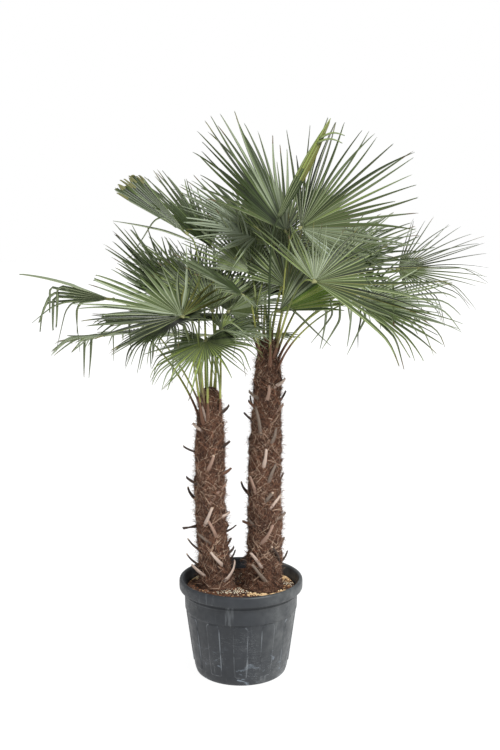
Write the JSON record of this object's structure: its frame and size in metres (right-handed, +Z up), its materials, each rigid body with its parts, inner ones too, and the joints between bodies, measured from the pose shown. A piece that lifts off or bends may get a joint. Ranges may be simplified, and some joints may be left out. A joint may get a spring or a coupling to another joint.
{
  "type": "potted palm",
  "caption": "Chinese windmill palm with a pair of shaggy fibre-clad trunks and crowns of fan-shaped fronds, growing in a tapered nursery tub with a rolled lip and raised panels.",
  "frame": {"origin": "centre of the pot's flat underside, on the floor", "axes": "+Z up the trunks, -Y towards the viewer of the picture, +X to the viewer's right, towards the taller trunk"},
  "size_m": [2.0692, 1.4306, 2.5237],
  "materials": {
    "pot": "satin blue-grey nursery plastic, scuffed and dusty",
    "soil": "moist bark soil with pale mineral grains",
    "trunk": "shaggy brown fibre with cut leaf bases",
    "leaf": "matt grey-green, folded fans"
  },
  "bodies": {
    "root": {"pot": "pot", "soil": "soil", "trunk_left": "trunk", "trunk_right": "trunk", "frond_right_01": "leaf", "frond_right_02": "leaf", "frond_right_03": "leaf", "frond_right_04": "leaf", "frond_right_05": "leaf", "frond_right_06": "leaf", "frond_right_07": "leaf", "frond_right_08": "leaf", "frond_right_09": "leaf", "frond_right_10": "leaf", "frond_right_11": "leaf", "frond_right_12": "leaf", "frond_right_13": "leaf", "frond_right_14": "leaf", "frond_right_15": "leaf", "frond_right_16": "leaf", "frond_right_17": "leaf", "frond_left_01": "leaf", "frond_left_02": "leaf", "frond_left_03": "leaf", "frond_left_04": "leaf", "frond_left_05": "leaf", "frond_left_06": "leaf", "frond_left_07": "leaf", "frond_left_08": "leaf", "frond_left_09": "leaf", "frond_left_10": "leaf", "frond_left_11": "leaf", "frond_left_12": "leaf", "frond_left_13": "leaf", "frond_left_14": "leaf", "spear_right": "leaf"}
  },
  "joints": []
}
